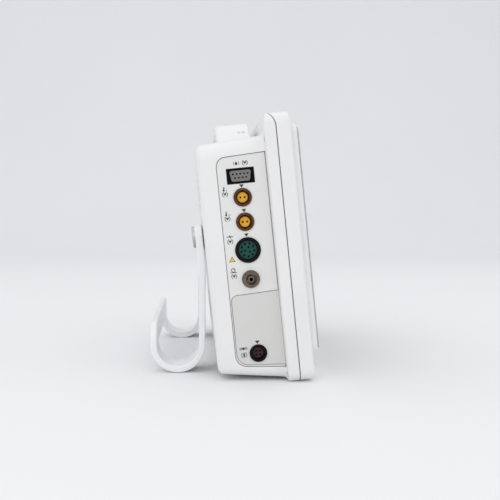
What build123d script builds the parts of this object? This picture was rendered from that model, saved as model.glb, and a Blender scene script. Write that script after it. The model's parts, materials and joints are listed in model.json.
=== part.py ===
"""Bedside patient monitor: leaning housing, side connectors, carrying handle and swivelling bed hook.

The housing is modelled upright in its own frame and then leaned back onto the table.
In that frame X points to the viewer's right, Y rearwards from the housing seam and Z up
along the housing from the bottom of its flange.
"""
from build123d import *
import math
import os

os.makedirs("parts", exist_ok=True)

# ---------------------------------------------------------------- driving dimensions (mm)
LEAN = 6.15                 # backward lean of the housing, degrees
WIDTH = 270.0               # across the flange and the bezel
HEIGHT = 203.2              # of the flange and the bezel
CORNER = 9.0                # corner radius of the front view
BEZEL_FRONT = -11.3         # bezel's front face, ahead of the seam
PLINTH_FRONT = -16.4        # raised frame under the glass
GLASS_THICKNESS = 1.4
GLASS_WIDTH = 250.0
GLASS_LOW, GLASS_HIGH = 21.6, 191.7
WALL = 2.6                  # moulded wall thickness

SEAM_STRAIGHT = 192.0       # height where the seam starts to bend rearwards
SEAM_SWEEP = 5.6            # how far back the seam lies on the top face
SEAM_HALF = 0.4             # half of the gasket's thickness

FLANGE_REAR = 9.0
TOE = 5.2                   # the flange's bottom rear edge, which stands on the table
CASE_HALF = 128.0           # half width of the rear casing
CASE_REAR = 61.0
CASE_TOP_FRONT, CASE_TOP_REAR = 189.0, 184.8    # at the seam and at the back
CASE_LOW_FRONT, CASE_LOW_REAR = 1.2, 11.0
BLEND_R = 3.8               # concave blend from the flange into the casing
BLEND_END = 12.0            # where the flange's chamfered foot meets the casing

POCKET_FLOOR = 124.9        # side panels rest on this ledge
PANEL_FACE = 127.4
PORT_Y = 29.3               # all side connectors stand in one row
SPO2_Z, TEMP_1_Z, TEMP_2_Z = 158.7, 142.5, 124.1
ECG_Z, NIBP_Z, CO2_Z = 102.8, 80.8, 24.3
MOUTH_DEPTH = 3.0           # free depth in front of each connector's insert
MOUTH_STEP = 0.6            # shoulder where the large mouth meets its insert
SMALL_MOUTH, SMALL_CORE = 4.9, 3.85  # radii of the small sockets' mouths and inserts

KEY_PITCH, KEY_Z = 22.0, 10.4
KEY_WIDTH, KEY_HEIGHT = 16.0, 8.0
KEY_PROUD = 1.2             # keys stand this far out of the bezel
KEY_REAR = -7.5             # rear face of a key's rim at rest
KEY_TRAVEL = 1.0
KEY_BOARD = KEY_REAR + KEY_TRAVEL + 0.9     # front face of the board behind the keys
SLIDE_GAP = 0.35            # around anything that slides

HOOK_HALF = 96.0            # half width of the bed hook
STRAP = 27.0                # width of each of its two arms
HOOK_THICK = 5.0
SADDLE_R = 16.8             # inside radius of the hook's J
HOOK_PLATE = (61.9, 67.7)   # front and rear face of the plate on the casing's back
PLATE_LOW, PLATE_HIGH = 101.0, 124.7
PIVOT_Z = 113.0
PIVOT_R = 5.0
RUN_FIT = 0.06              # radial clearance of a running fit
BAND_LOW = 21.9             # lower edge of the band that joins the arms at the lip
LIP_HIGH = 40.0             # height of the hook's lip above the housing's foot
SADDLE_Y, SADDLE_Z = 93.2, 21.4

HINGE_X, HINGE_Y = 126.3, 44.2      # battery door's hinge line
DOOR_LOW, DOOR_HIGH = 24.0, 68.6
DOOR_FRONT, DOOR_REAR = 12.0, 45.3

SCREW_R = 1.25                      # self-tapping screws of the housing
SCREW_CLEAR = 1.7
SCREW_SEAT = 4.5                    # where the screw heads sit in the flange's wells
SCREW_SPOTS = [(x, z) for x in (-130.9, 130.9) for z in (6.0, 183.4)]
BOSS_SPOTS = [(x, z) for x in (-102, 102) for z in (94, 163)]
CHASSIS_FRONT, CHASSIS_REAR = 14.0, 15.2
BOARD_FRONT, BOARD_REAR = 20.0, 21.6

HANDLE_Y = (15.0, 43.0)             # front and rear face of the carrying handle
HANDLE_TOP = 204.0
HANDLE_FOOT, HANDLE_SHOULDER = 92.0, 72.0
GAP_FOOT, GAP_SHOULDER, GAP_TOP = 70.0, 62.0, 196.0
HANDLE_SCREWS = [(x, y) for x in (-80, 80) for y in (23, 35)]
WELL_X, WELL_Y, WELL_LOW = 58.0, (17.0, 41.0), 173.0    # finger well under it

INSERT_R, INSERT_BODY_R = 1.65, 3.0     # threaded inserts in the underside
INSERT_LOW, INSERT_LENGTH = 4.6, 8.0
INSERT_SPOTS = [(x, y) for x in (-50, 50) for y in (26.0, 51.0)]

SIN, COS = math.sin(math.radians(LEAN)), math.cos(math.radians(LEAN))
GLASS_FRONT = PLINTH_FRONT - GLASS_THICKNESS
FOREMOST = GLASS_FRONT * COS + GLASS_LOW * SIN
REARMOST = SADDLE_Y + SADDLE_R + HOOK_THICK
MIDDLE = (FOREMOST + REARMOST) / 2
LIFT = TOE * SIN

standing = Location((0, -MIDDLE, LIFT), (-LEAN, 0, 0))


# ---------------------------------------------------------------- helpers
def save(piece, name):
    """Lean a finished piece back, stand it on the table, label it and write its file."""
    placed = standing * piece.part
    placed.label = name
    export_step(placed, f"parts/{name}.step")


def level(y, z):
    """Housing coordinates of a point given level with the table, from the seam's foot."""
    return (y * COS - z * SIN, y * SIN + z * COS)


def upright_plane(x, y, z):
    """Plane level with the table through a point given as for level()."""
    across, up = level(y, z)
    return Plane(origin=(x, across, up), x_dir=(1, 0, 0), z_dir=(0, -SIN, COS))


def facing_front(y):
    """Front view plane at a depth, seen from the screen's side."""
    return Plane(origin=(0, y, 0), x_dir=(1, 0, 0), z_dir=(0, -1, 0))


def facing_left(x):
    """Side view plane whose local X runs to the front and whose normal is -X."""
    return Plane(origin=(x, 0, 0), x_dir=(0, -1, 0), z_dir=(-1, 0, 0))


def facing_right(x):
    """Side view plane whose local X runs to the rear and whose normal is +X."""
    return Plane(origin=(x, 0, 0), x_dir=(0, 1, 0), z_dir=(1, 0, 0))


def block(xs, ys, zs, mode=Mode.ADD):
    """Box between two values along each axis."""
    centre = [(low + high) / 2 for low, high in (xs, ys, zs)]
    sizes = [high - low for low, high in (xs, ys, zs)]
    with Locations(tuple(centre)):
        Box(*sizes, mode=mode)


def front_outline(inset=0.0, mode=Mode.ADD):
    """Rounded front view of the housing, shrunk by an inset."""
    with Locations((0, HEIGHT / 2)):
        RectangleRounded(WIDTH - 2 * inset, HEIGHT - 2 * inset, CORNER - inset, mode=mode)


def seam_band(front, rear):
    """Solid between two offsets from the seam, which sweeps rearwards near the top."""
    with BuildPart() as band:
        with BuildSketch(Plane.YZ):
            with BuildLine():
                edges = []
                for shift in (front, rear):
                    up = Line((shift, -20), (shift, SEAM_STRAIGHT))
                    bend = TangentArc(up @ 1, (shift + SEAM_SWEEP, HEIGHT), tangent=up % 1)
                    over = Line(bend @ 1, (bend @ 1) + (bend % 1) * 25)
                    edges.append((up, over))
                Line(edges[0][0] @ 0, edges[1][0] @ 0)
                Line(edges[0][1] @ 1, edges[1][1] @ 1)
            make_face()
        extrude(amount=WIDTH, both=True)
    return band.part


def casing_form(inset):
    """Rounded body of the rear casing, shrunk by an inset."""
    half = CASE_HALF - inset
    with BuildPart() as form:
        with BuildSketch(Plane.YZ):
            with BuildLine():
                Polyline(
                    (0, CASE_LOW_FRONT + inset),
                    (CASE_REAR - inset, CASE_LOW_REAR + inset),
                    (CASE_REAR - inset, CASE_TOP_REAR - inset),
                    (0, CASE_TOP_FRONT - inset),
                    close=True,
                )
            make_face()
        extrude(amount=half, both=True)
        long_edges = form.edges().filter_by(lambda e: abs(e.center().X) > half - 1 and e.length < 66)
        fillet(long_edges.filter_by(lambda e: e.center().Z > 150), 13.0 - inset)
        long_edges = form.edges().filter_by(lambda e: abs(e.center().X) > half - 1 and e.length < 66)
        fillet(long_edges.filter_by(lambda e: e.center().Z < 20), 6.0 - inset)
        fillet(form.faces().sort_by(Axis.Y)[-1].edges(), 5.5 - inset)
    return form.part


def side_outline(top, low, rear, radii, shrink):
    """Side cover's outline with local X to the front; its two rear corners are rounded.

    top and low give the heights of the front and rear ends of the upper and lower edge.
    """
    front = -9.2
    with BuildSketch() as outline:
        with BuildLine():
            Polyline((front, top[0]), (-rear, top[1]), (-rear, low[1]), (front, low[0]), close=True)
        make_face()
        fillet(outline.vertices().group_by(Axis.X)[0].sort_by(Axis.Y)[-1:], radii[0])
        fillet(outline.vertices().group_by(Axis.X)[0].sort_by(Axis.Y)[:1], radii[1])
        if shrink:
            offset(amount=-shrink, kind=Kind.INTERSECTION, mode=Mode.REPLACE)
    return outline.sketch


def panel_outline(shrink=0.0):
    """Outline of a side panel and its pocket."""
    return side_outline((175.2, 173.3), (11.5, 15.7), 47.0, (7.5, 9.0), shrink)


def module_outline(shrink=0.0):
    """Outline of the grey module cover in the left panel."""
    return side_outline((70.3, 69.2), (13.7, 16.9), 45.5, (4.5, 9.0), shrink)


# ---------------------------------------------------------------- front housing
LAMP_SPOTS = (96, 102, 108)     # power and battery lamps beside the keys
with BuildPart() as front_bezel:
    with BuildSketch(facing_front(SEAM_SWEEP + 4)):
        front_outline()
    extrude(amount=SEAM_SWEEP + 4 - BEZEL_FRONT)
    fillet(front_bezel.faces().sort_by(Axis.Y)[0].edges(), 3.0)
    with BuildSketch(facing_front(BEZEL_FRONT + 1)):
        with Locations((0, (GLASS_LOW + GLASS_HIGH) / 2)):
            RectangleRounded(GLASS_WIDTH + 5, GLASS_HIGH - GLASS_LOW + 5, 7)
    extrude(amount=BEZEL_FRONT + 1 - PLINTH_FRONT)
    fillet(front_bezel.faces().sort_by(Axis.Y)[0].edges(), 1.4)
    # hollow behind the face, a deeper one behind the plinth, and the window
    with BuildSketch(facing_front(30)):
        front_outline(WALL)
    extrude(amount=30 - BEZEL_FRONT - WALL, mode=Mode.SUBTRACT)
    with BuildSketch(facing_front(0)):
        with Locations((0, (GLASS_LOW + GLASS_HIGH) / 2)):
            RectangleRounded(GLASS_WIDTH - 2, GLASS_HIGH - GLASS_LOW - 2, 4)
    extrude(amount=-PLINTH_FRONT - WALL, mode=Mode.SUBTRACT)
    block((-113, 113), (-20, 0), (34, 180), mode=Mode.SUBTRACT)
    # corner bosses that take the case screws
    with BuildSketch(facing_front(6)):
        with Locations(*SCREW_SPOTS):
            Circle(3.2)
        front_outline(0.5, mode=Mode.INTERSECT)
    extrude(amount=6 - BEZEL_FRONT - 1)
    with BuildSketch(facing_front(10)):
        with Locations(*SCREW_SPOTS):
            Circle(SCREW_R)
    extrude(amount=17, mode=Mode.SUBTRACT)
    # shelves that carry the key board
    for x in (-88, 88):
        block((x - 3, x + 3), (BEZEL_FRONT + 1, KEY_BOARD), (5.5, 15.3))
    # key row, alarm lamp and small lamp windows
    with BuildSketch(facing_front(0)):
        with Locations(*[((i - 3) * KEY_PITCH, KEY_Z) for i in range(7)]):
            RectangleRounded(KEY_WIDTH + 2 * SLIDE_GAP, KEY_HEIGHT + 2 * SLIDE_GAP, 2)
        with Locations(*[(x, KEY_Z - 2) for x in LAMP_SPOTS]):
            Circle(1.1)
    extrude(amount=20, mode=Mode.SUBTRACT)
    block((-24, 24), (BEZEL_FRONT - 3, BEZEL_FRONT + 4.5), (HEIGHT - 3.4, HEIGHT + 3), mode=Mode.SUBTRACT)
    add(seam_band(-SEAM_HALF, 60), mode=Mode.SUBTRACT)
save(front_bezel, "front_bezel")

with BuildPart() as display_glass:
    with BuildSketch(facing_front(PLINTH_FRONT)):
        with Locations((0, (GLASS_LOW + GLASS_HIGH) / 2)):
            RectangleRounded(GLASS_WIDTH, GLASS_HIGH - GLASS_LOW, 5)
    extrude(amount=GLASS_THICKNESS)
save(display_glass, "display_glass")

LCD_FRONT = PLINTH_FRONT + WALL
with BuildPart() as lcd_module:
    block((-121, 121), (LCD_FRONT, LCD_FRONT + 5.6), (28, 187))
    fillet(lcd_module.edges().filter_by(Axis.Y), 2)
    block((-108, 108), (LCD_FRONT - 0.01, LCD_FRONT + 0.6), (38, 176), mode=Mode.SUBTRACT)
    block((-60, 60), (LCD_FRONT + 5, LCD_FRONT + 6.6), (30, 44))
save(lcd_module, "lcd_module")

with BuildPart() as lcd_frame:
    block((-122.5, 122.5), (LCD_FRONT + 6.8, LCD_FRONT + 7.8), (27, 188))
    block((-96, 96), (LCD_FRONT + 5, LCD_FRONT + 9), (46, 170), mode=Mode.SUBTRACT)
    for x in (-122.5, 121.5):
        block((x, x + 1), (LCD_FRONT + 1, LCD_FRONT + 7), (60, 150))
    with BuildSketch(facing_front(0)):
        with Locations(*[(x, z) for x in (-109, 109) for z in (36, 178)]):
            Circle(1.7)
    extrude(amount=12, mode=Mode.SUBTRACT)
save(lcd_frame, "lcd_frame")

with BuildPart() as alarm_lens:
    block((-23.9, 23.9), (BEZEL_FRONT - 0.6, BEZEL_FRONT + 4.4), (HEIGHT - 3.3, HEIGHT - 0.1))
    fillet(alarm_lens.edges().filter_by(Axis.X).sort_by(Axis.Y)[:2].sort_by(Axis.Z)[-1:], 2.6)
save(alarm_lens, "alarm_lens")

with BuildPart() as alarm_board:
    block((-26, 26), (-8.4, -2.4), (191.4, 193))
    with Locations(*[(x, -5.4, 193.6) for x in (-18, -6, 6, 18)]):
        Box(3.2, 2.8, 1.2)
save(alarm_board, "alarm_board")

KEY_NAMES = (
    "power_key", "alarm_pause_key", "alarm_reset_key", "pressure_start_key",
    "freeze_key", "record_key", "menu_key",
)
for index, key_name in enumerate(KEY_NAMES):
    key_x = (index - 3) * KEY_PITCH
    with BuildPart() as key:
        with BuildSketch(facing_front(KEY_REAR)):
            with Locations((key_x, KEY_Z)):
                RectangleRounded(KEY_WIDTH, KEY_HEIGHT, 1.7)
        extrude(amount=KEY_REAR - BEZEL_FRONT + KEY_PROUD)
        fillet(key.faces().sort_by(Axis.Y)[0].edges(), 0.6)
        with BuildSketch(facing_front(KEY_REAR)):
            with Locations((key_x, KEY_Z)):
                RectangleRounded(KEY_WIDTH + 2.4, KEY_HEIGHT + 2.4, 1.7)
        extrude(amount=0.85)
        block((key_x - 2, key_x + 2), (KEY_REAR - 0.1, KEY_REAR + 0.7), (KEY_Z - 2, KEY_Z + 2))
    save(key, key_name)

with BuildPart() as key_board:
    block((-92, 112), (KEY_BOARD, KEY_BOARD + 1.6), (4, 17))
    with Locations(*[((i - 3) * KEY_PITCH, KEY_BOARD - 0.05, KEY_Z) for i in range(7)]):
        Box(5, 0.1, 5)
    with Locations(*[(x, KEY_BOARD - 0.6, KEY_Z - 2) for x in LAMP_SPOTS]):
        Box(1.6, 1.2, 1.6)
save(key_board, "key_board")

with BuildPart() as case_gasket:
    with BuildSketch(facing_front(SEAM_SWEEP + 8)):
        front_outline(0.35)
        front_outline(1.75, mode=Mode.SUBTRACT)
    extrude(amount=SEAM_SWEEP + 12)
    add(seam_band(-SEAM_HALF, SEAM_HALF), mode=Mode.INTERSECT)
save(case_gasket, "case_gasket")


# ---------------------------------------------------------------- rear housing
left_pocket = facing_left(-POCKET_FLOOR)
VENT_ROWS = range(6)
GRILLE_ROWS = range(-3, 4)
SPEAKER_X, SPEAKER_Z = 72.0, 152.0


casing_outer = casing_form(0)
casing_inner = casing_form(WALL)

with BuildPart() as pocket_tool:
    with BuildSketch(left_pocket):
        add(panel_outline())
    extrude(amount=20)
with BuildPart() as pocket_pad:
    with BuildSketch(facing_left(-122.4)):
        add(panel_outline(-2.0))
    extrude(amount=4)
    add(casing_outer, mode=Mode.INTERSECT)
with BuildPart() as pocket_window:
    with BuildSketch(facing_left(-110)):
        add(panel_outline(3.5))
    extrude(amount=30)

with BuildPart() as rear_case:
    with BuildSketch(facing_front(FLANGE_REAR)):
        front_outline()
    extrude(amount=FLANGE_REAR + 3)
    fillet(rear_case.faces().sort_by(Axis.Y)[-1].edges(), 2.0)
    add(casing_outer)
    step = rear_case.edges().filter_by(lambda e: abs(e.center().Y - FLANGE_REAR) < 0.05)
    fillet(step.filter_by(lambda e: 8 < e.center().Z < CASE_TOP_FRONT + 0.5
                          and abs(e.center().X) < CASE_HALF + 0.5), BLEND_R)
    # sloping top of the flange and its chamfered foot
    with BuildSketch(Plane.YZ):
        with BuildLine():
            Polyline((SEAM_SWEEP + 0.9, HEIGHT + 2), (SEAM_SWEEP + 0.9, HEIGHT), (FLANGE_REAR + 0.4, 194),
                     (FLANGE_REAR + 9, 194), (FLANGE_REAR + 9, HEIGHT + 2), close=True)
        make_face()
        with BuildLine():
            Polyline((TOE, -1), (TOE, 0), (BLEND_END, 3.1), (BLEND_END + 4, -1), close=True)
        make_face()
    extrude(amount=WIDTH, both=True, mode=Mode.SUBTRACT)
    # hollow
    add(casing_inner, mode=Mode.SUBTRACT)
    with BuildSketch(facing_front(FLANGE_REAR - 2.8)):
        front_outline(3.4)
    extrude(amount=20, mode=Mode.SUBTRACT)
    # pockets and windows of the side panels
    for side in (pocket_pad.part, pocket_pad.part.mirror(Plane.YZ)):
        add(side)
    for tool in (pocket_tool.part, pocket_window.part):
        add(tool, mode=Mode.SUBTRACT)
        add(tool.mirror(Plane.YZ), mode=Mode.SUBTRACT)
    # corner screw towers with wells that open to the rear
    with BuildSketch(facing_front(FLANGE_REAR - 2)):
        with Locations(*SCREW_SPOTS):
            Circle(3.6)
        front_outline(0.5, mode=Mode.INTERSECT)
    extrude(amount=FLANGE_REAR + 2)
    with BuildSketch(facing_front(30)):
        with Locations(*SCREW_SPOTS):
            Circle(2.5)
    extrude(amount=30 - SCREW_SEAT, mode=Mode.SUBTRACT)
    with BuildSketch(facing_front(30)):
        with Locations(*SCREW_SPOTS):
            Circle(SCREW_CLEAR)
    extrude(amount=40, mode=Mode.SUBTRACT)
    # chassis bosses
    with BuildSketch(facing_front(CASE_REAR - 1)):
        with Locations(*BOSS_SPOTS):
            Circle(4)
    extrude(amount=CASE_REAR - 1 - CHASSIS_REAR)
    with BuildSketch(facing_front(CASE_REAR - 8)):
        with Locations(*BOSS_SPOTS):
            Circle(SCREW_R)
    extrude(amount=50, mode=Mode.SUBTRACT)
    # bosses of the threaded inserts, standing upright on the sloping floor
    for insert_x, insert_y in INSERT_SPOTS:
        with BuildSketch(upright_plane(insert_x, insert_y, INSERT_LOW)):
            Circle(INSERT_BODY_R + 2.2)
        extrude(amount=INSERT_LENGTH + 1.4)
        with BuildSketch(upright_plane(insert_x, insert_y, -5)):
            Circle(INSERT_BODY_R)
        extrude(amount=5 + INSERT_LOW + INSERT_LENGTH, mode=Mode.SUBTRACT)
    # finger well under the handle
    block((-WELL_X - 2, WELL_X + 2), (WELL_Y[0] - 2, WELL_Y[1] + 2), (WELL_LOW - 2, 184))
    block((-WELL_X, WELL_X), WELL_Y, (WELL_LOW, 200), mode=Mode.SUBTRACT)
    with BuildSketch(Plane.XY.offset(170)):
        with Locations(*HANDLE_SCREWS):
            Circle(SCREW_CLEAR)
    extrude(amount=30, mode=Mode.SUBTRACT)
    # pivot hole of the hook, sound holes and air slots in the back
    with BuildSketch(facing_front(CASE_REAR + 5)):
        with Locations((0, PIVOT_Z)):
            Circle(PIVOT_R + 0.2)
        for row in GRILLE_ROWS:
            reach = math.sqrt(19.0 ** 2 - (row * 5.0) ** 2)
            with Locations((SPEAKER_X, SPEAKER_Z + row * 5.0)):
                SlotOverall(2 * reach, 2.4)
        for row in VENT_ROWS:
            with Locations((-SPEAKER_X, SPEAKER_Z - 12 + row * 5.0)):
                SlotOverall(44, 2.4)
    extrude(amount=10, mode=Mode.SUBTRACT)
    add(seam_band(-60, SEAM_HALF), mode=Mode.SUBTRACT)
save(rear_case, "rear_case")


# ---------------------------------------------------------------- side panels and covers
PANEL_THICK = PANEL_FACE - POCKET_FLOOR

with BuildPart() as left_port_panel:
    with BuildSketch(left_pocket):
        add(panel_outline(0.45))
        add(module_outline(-0.3), mode=Mode.SUBTRACT)
        with Locations((-PORT_Y, SPO2_Z)):
            Rectangle(21.0, 11.8, mode=Mode.SUBTRACT)
        for z, radius in ((TEMP_1_Z, 5.6), (TEMP_2_Z, 5.6), (ECG_Z, 8.2), (NIBP_Z, 5.0)):
            with Locations((-PORT_Y, z)):
                Circle(radius, mode=Mode.SUBTRACT)
    extrude(amount=PANEL_THICK)
    fillet(left_port_panel.faces().sort_by(Axis.X)[0].outer_wire().edges(), 0.35)
save(left_port_panel, "left_port_panel")

with BuildPart() as module_faceplate:
    with BuildSketch(left_pocket):
        add(module_outline(0.05))
        with Locations((-PORT_Y, CO2_Z)):
            Circle(5.6, mode=Mode.SUBTRACT)
    extrude(amount=PANEL_THICK + 0.2)
    fillet(module_faceplate.faces().sort_by(Axis.X)[0].outer_wire().edges(), 0.4)
save(module_faceplate, "module_faceplate")

with BuildPart() as gas_module:
    block((-POCKET_FLOOR, -76), (15.2, 41.5), (21.5, 66))
    fillet(gas_module.edges().filter_by(Axis.X), 2)
    with BuildSketch(facing_left(-POCKET_FLOOR)):
        with Locations((-PORT_Y, CO2_Z)):
            Circle(8.5)
    extrude(amount=-14, mode=Mode.SUBTRACT)
    block((-78, -73), (20, 36), (50, 58))
save(gas_module, "gas_module")


# ---------------------------------------------------------------- round side connectors
def collar(z, flange_r, barrel_r, mouth_r, core_r, face, depth=10.0, proud=1.1):
    """Round socket shell: a flange on the panel and a threaded barrel behind it."""
    with BuildPart() as shell:
        with BuildSketch(facing_left(-face)):
            with Locations((-PORT_Y, z)):
                Circle(flange_r)
        extrude(amount=proud)
        fillet(shell.edges().sort_by(Axis.X)[:1], 0.5)
        with BuildSketch(facing_left(-face)):
            with Locations((-PORT_Y, z)):
                Circle(barrel_r - 0.1)
        extrude(amount=-depth)
        for bore_r, bore_depth in ((mouth_r, MOUTH_DEPTH), (core_r, depth + proud)):
            with BuildSketch(facing_left(-face - proud)):
                with Locations((-PORT_Y, z)):
                    Circle(bore_r)
            extrude(amount=-bore_depth, mode=Mode.SUBTRACT)
        # keyway at the top of the mouth
        block((-face - proud, -face - proud + MOUTH_DEPTH), (PORT_Y - 0.9, PORT_Y + 0.9),
              (z + mouth_r - 0.3, z + mouth_r + 0.8), mode=Mode.SUBTRACT)
    return shell


def insert(z, core_r, face, pins, pin_r, depth=10.0, proud=1.1):
    """Insulator with pin holes that fills a collar behind its mouth."""
    front = -face - proud + MOUTH_DEPTH
    with BuildPart() as core:
        with BuildSketch(facing_left(front)):
            with Locations((-PORT_Y, z)):
                Circle(core_r)
        extrude(amount=-(depth + proud - MOUTH_DEPTH))
        with BuildSketch(facing_left(front)):
            with Locations(*[(-PORT_Y + dy, z + dz) for dy, dz in pins]):
                Circle(pin_r)
        extrude(amount=-4.5, mode=Mode.SUBTRACT)
    return core


def ring_of(count, radius, start=0.0):
    """Points evenly spaced on a circle."""
    angles = [math.radians(start + 360.0 * i / count) for i in range(count)]
    return [(radius * math.cos(a), radius * math.sin(a)) for a in angles]


for number, z in ((1, TEMP_1_Z), (2, TEMP_2_Z)):
    save(collar(z, 6.95, 5.6, SMALL_MOUTH, SMALL_CORE, PANEL_FACE), f"temperature_{number}_collar")
    save(insert(z, SMALL_CORE, PANEL_FACE, [(-1.6, 0), (1.6, 0)], 0.8), f"temperature_{number}_insert")
save(collar(ECG_Z, 9.7, 8.2, 7.4, 7.4 - MOUTH_STEP, PANEL_FACE), "ecg_collar")
ecg_pins = ring_of(9, 4.9, 31) + ring_of(3, 2.1, 73)
save(insert(ECG_Z, 7.4 - MOUTH_STEP, PANEL_FACE, ecg_pins, 0.82), "ecg_insert")
module_face = PANEL_FACE + 0.2
save(collar(CO2_Z, 6.7, 5.6, SMALL_MOUTH, SMALL_CORE, module_face, proud=1.0), "gas_collar")
save(insert(CO2_Z, SMALL_CORE, module_face, ring_of(4, 2.1, 45), 0.8, proud=1.0), "gas_insert")

with BuildPart() as connector_nuts:
    with BuildSketch(facing_left(-POCKET_FLOOR)):
        for z, barrel_r in ((TEMP_1_Z, 5.6), (TEMP_2_Z, 5.6), (ECG_Z, 8.2), (NIBP_Z, 5.0)):
            with Locations((-PORT_Y, z)):
                RegularPolygon(barrel_r + 2.4, 6, major_radius=False)
                Circle(barrel_r - 0.1, mode=Mode.SUBTRACT)
    extrude(amount=-2.4)
save(connector_nuts, "connector_nuts")

with BuildPart() as pressure_fitting:
    with BuildSketch(facing_left(-PANEL_FACE)):
        with Locations((-PORT_Y, NIBP_Z)):
            Circle(6.8)
    extrude(amount=1.2)
    fillet(pressure_fitting.edges().sort_by(Axis.X)[:1], 0.5)
    with BuildSketch(facing_left(-PANEL_FACE)):
        with Locations((-PORT_Y, NIBP_Z)):
            RegularPolygon(5.5, 6, major_radius=False)
    extrude(amount=2.4)
    with BuildSketch(facing_left(-PANEL_FACE - 2.4)):
        with Locations((-PORT_Y, NIBP_Z)):
            Circle(5.1)
            Circle(4.3, mode=Mode.SUBTRACT)
    extrude(amount=1.2)
    with BuildSketch(facing_left(-PANEL_FACE + 12)):
        with Locations((-PORT_Y, NIBP_Z)):
            Circle(4.9)
    extrude(amount=12)
    with BuildSketch(facing_left(-PANEL_FACE - 2.4)):
        with Locations((-PORT_Y, NIBP_Z)):
            Circle(4.1)
    extrude(amount=-8, mode=Mode.SUBTRACT)
    with BuildSketch(facing_left(-PANEL_FACE + 6)):
        with Locations((-PORT_Y, NIBP_Z)):
            Circle(2.6)
    extrude(amount=9.6)
    fillet(pressure_fitting.faces().sort_by(Axis.X)[0].edges(), 0.5)
    with BuildSketch(facing_left(-PANEL_FACE + 15)):
        with Locations((-PORT_Y, NIBP_Z)):
            Circle(2.3)
    extrude(amount=4)
    with BuildSketch(facing_left(-PANEL_FACE + 20)):
        with Locations((-PORT_Y, NIBP_Z)):
            Circle(1.4)
    extrude(amount=26, mode=Mode.SUBTRACT)
save(pressure_fitting, "pressure_fitting")

with BuildPart() as spo2_shell:
    with BuildSketch(facing_left(-PANEL_FACE - 0.25)):
        with Locations((-PORT_Y, SPO2_Z)):
            RectangleRounded(20.8, 11.6, 0.8)
    extrude(amount=-12)
    with BuildSketch(facing_left(-PANEL_FACE - 1)):
        with Locations((-PORT_Y, SPO2_Z)):
            RectangleRounded(18.6, 9.9, 1.0)
    extrude(amount=-3.4, mode=Mode.SUBTRACT)
    with BuildSketch(facing_left(-PANEL_FACE + 13)):
        with Locations((-PORT_Y, SPO2_Z)):
            Rectangle(14, 6)
    extrude(amount=12, mode=Mode.SUBTRACT)
save(spo2_shell, "spo2_shell")

PIN_STEP, ROW_STEP = 2.77, 2.84
with BuildPart() as spo2_insert:
    with BuildSketch(facing_left(-PANEL_FACE + 2.4)):
        with Locations((-PORT_Y, SPO2_Z)):
            Trapezoid(16.4, 8.1, 80, rotation=180)
    extrude(amount=2.2)
    fillet(spo2_insert.edges().filter_by(Axis.X), 1.4)
    with BuildSketch(facing_left(-PANEL_FACE)):
        with Locations((-PORT_Y, SPO2_Z + ROW_STEP / 2)):
            with GridLocations(PIN_STEP, 0, 5, 1):
                Circle(0.75)
        with Locations((-PORT_Y, SPO2_Z - ROW_STEP / 2)):
            with GridLocations(PIN_STEP, 0, 4, 1):
                Circle(0.75)
    extrude(amount=-2, mode=Mode.SUBTRACT)
save(spo2_insert, "spo2_insert")


# ---------------------------------------------------------------- right side: power, data, battery
INLET_Z, EARTH_Z, NETWORK_Z, USB_Z = 146.0, 123.0, 105.0, (90.0, 81.0)
door_window = (DOOR_FRONT - 0.35, DOOR_REAR + 0.35, DOOR_LOW - 0.35, DOOR_HIGH + 0.35)
PIN_LENGTH, HINGE_PIN_R = 5.0, 0.75
STUD_R, STUD_LENGTH = 3.0, 6.0

with BuildPart() as right_port_panel:
    with BuildSketch(facing_right(POCKET_FLOOR)):
        add(panel_outline(0.45).mirror(Plane.YZ))
        with Locations((PORT_Y, INLET_Z)):
            Rectangle(28.4, 21.4, mode=Mode.SUBTRACT)
        with Locations((PORT_Y, EARTH_Z)):
            Circle(4.1, mode=Mode.SUBTRACT)
        with Locations((PORT_Y, NETWORK_Z)):
            Rectangle(16.4, 13.9, mode=Mode.SUBTRACT)
        with Locations(*[(PORT_Y, z) for z in USB_Z]):
            Rectangle(14.9, 7.4, mode=Mode.SUBTRACT)
        centre = ((door_window[0] + door_window[1]) / 2, (door_window[2] + door_window[3]) / 2)
        with Locations(centre):
            Rectangle(door_window[1] - door_window[0], door_window[3] - door_window[2], mode=Mode.SUBTRACT)
    extrude(amount=PANEL_THICK)
    fillet(right_port_panel.faces().sort_by(Axis.X)[-1].outer_wire().edges(), 0.35)
    for z in (DOOR_LOW - 1.5, DOOR_HIGH + 1.5):
        with Locations((HINGE_X, HINGE_Y, z)):
            Cylinder(HINGE_PIN_R, PIN_LENGTH + 0.4, mode=Mode.SUBTRACT)
save(right_port_panel, "right_port_panel")

with BuildPart() as battery_door:
    block((POCKET_FLOOR + 0.3, PANEL_FACE), (DOOR_FRONT, DOOR_REAR), (DOOR_LOW, DOOR_HIGH))
    fillet(battery_door.edges().filter_by(Axis.Z).sort_by(Axis.Y)[-2:], 1.05)
    fillet(battery_door.edges().filter_by(Axis.Z).sort_by(Axis.Y)[:2].sort_by(Axis.X)[-1:], 0.4)
    block((POCKET_FLOOR - 1, PANEL_FACE + 1), (14.6, 20.4), (37, 51), mode=Mode.SUBTRACT)
    for z in (31, 62):
        block((PANEL_FACE - 0.5, PANEL_FACE + 0.7), (24, 40), (z - 0.8, z + 0.8))
    for z in (DOOR_LOW + 1.9, DOOR_HIGH - 1.9):
        with Locations((HINGE_X, HINGE_Y, z)):
            Cylinder(HINGE_PIN_R + 0.05, 4, mode=Mode.SUBTRACT)
save(battery_door, "battery_door")

with BuildPart() as door_pins:
    with Locations((HINGE_X, HINGE_Y, DOOR_HIGH + 0.6), (HINGE_X, HINGE_Y, DOOR_LOW - 0.6)):
        Cylinder(HINGE_PIN_R, PIN_LENGTH)
save(door_pins, "door_pins")

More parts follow.
